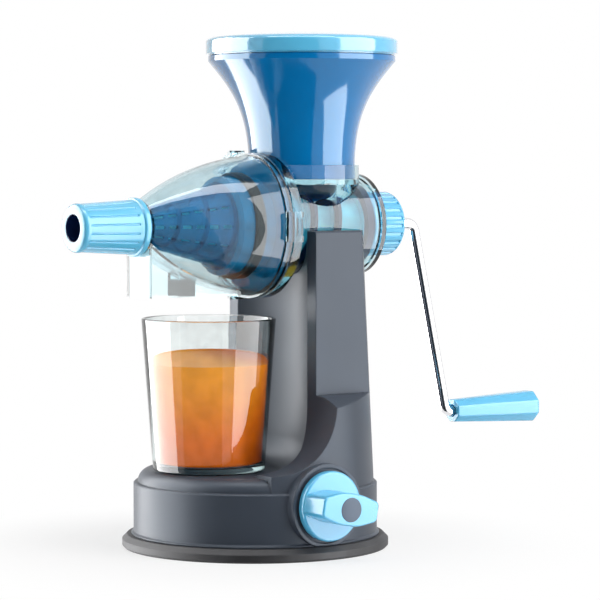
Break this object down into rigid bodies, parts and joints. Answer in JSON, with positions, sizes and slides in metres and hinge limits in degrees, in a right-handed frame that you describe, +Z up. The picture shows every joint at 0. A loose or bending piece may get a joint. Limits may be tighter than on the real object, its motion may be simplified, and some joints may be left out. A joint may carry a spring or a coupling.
{
  "type": "manual juicer",
  "caption": "Hand-cranked auger juicer on a vacuum base, with a hopper and lid, clear strainer housing, pulp nozzle, bent crank and juice cup.",
  "frame": {"origin": "centre of the rubber foot on the table", "axes": "+Z up, +X along the barrel from the pulp nozzle to the crank"},
  "size_m": [0.349, 0.1834, 0.316],
  "materials": {
    "slate_plastic": "satin",
    "black_rubber": "matte",
    "clear_plastic": "clear, smoky",
    "blue_strainer": "translucent blue",
    "blue_auger": "gloss",
    "light_blue_plastic": "gloss",
    "hopper_blue": "gloss",
    "slate_cap": "satin",
    "white_nylon": "natural",
    "chromed_steel": "bright chrome",
    "steel": "zinc plated",
    "clear_cup": "clear"
  },
  "bodies": {
    "stand": {"stand_body": "slate_plastic", "suction_cup": "black_rubber", "barrel": "clear_plastic", "front_housing": "clear_plastic", "housing_gasket": "black_rubber", "strainer": "blue_strainer", "strainer_seal": "black_rubber", "bearing_bush": "white_nylon", "shaft_seal": "black_rubber", "rear_nut": "light_blue_plastic", "knob_washer": "white_nylon"},
    "crank": {"crank_rod": "chromed_steel", "auger": "blue_auger", "drive_pin": "steel", "thrust_washer": "white_nylon", "grip_screw": "steel"},
    "grip": {"crank_grip": "light_blue_plastic", "grip_cap": "light_blue_plastic"},
    "lever": {"lever_knob": "light_blue_plastic", "knob_cap": "slate_cap", "knob_screw": "steel", "cam_shaft": "white_nylon", "circlip": "steel"},
    "lift": {"pull_stem": "white_nylon"},
    "hopper": {"hopper": "hopper_blue"},
    "lid": {"hopper_lid": "light_blue_plastic"},
    "nozzle": {"pulp_nozzle": "light_blue_plastic", "nozzle_washer": "black_rubber"},
    "cup": {"juice_cup": "clear_cup"}
  },
  "joints": [
    {"name": "crank_spin", "type": "hinge", "parent": "stand", "child": "crank", "pos_m": [0.09, 0, 0.197], "axis": [1, 0, 0], "continuous": true},
    {"name": "grip_spin", "type": "hinge", "parent": "crank", "child": "grip", "pos_m": [0.18, 0, 0.075], "axis": [1, 0, 0], "continuous": true},
    {"name": "lever_turn", "type": "hinge", "parent": "stand", "child": "lever", "pos_m": [0, -0.05, 0.032], "axis": [0, 1, 0], "range_deg": [0, 90]},
    {"name": "suction_lift", "type": "slide", "parent": "stand", "child": "lift", "axis": [0, 0, 1], "range_m": [0, 0.00496], "deforming": ["suction_cup"]},
    {"name": "nozzle_turn", "type": "hinge", "parent": "stand", "child": "nozzle", "pos_m": [-0.1, 0, 0.197], "axis": [1, 0, 0], "continuous": true},
    {"name": "hopper_lift", "type": "slide", "parent": "stand", "child": "hopper", "axis": [0, 0, 1], "range_m": [0, 0.06]},
    {"name": "lid_lift", "type": "slide", "parent": "hopper", "child": "lid", "axis": [0, 0, 1], "range_m": [0, 0.05]},
    {"name": "cup_slide", "type": "slide", "parent": "stand", "child": "cup", "axis": [-1, 0, 0], "range_m": [0, 0.11]}
  ],
  "couplings": [
    {"joint": "suction_lift", "follows": "lever_turn", "m_per_rad": 0.00315}
  ]
}
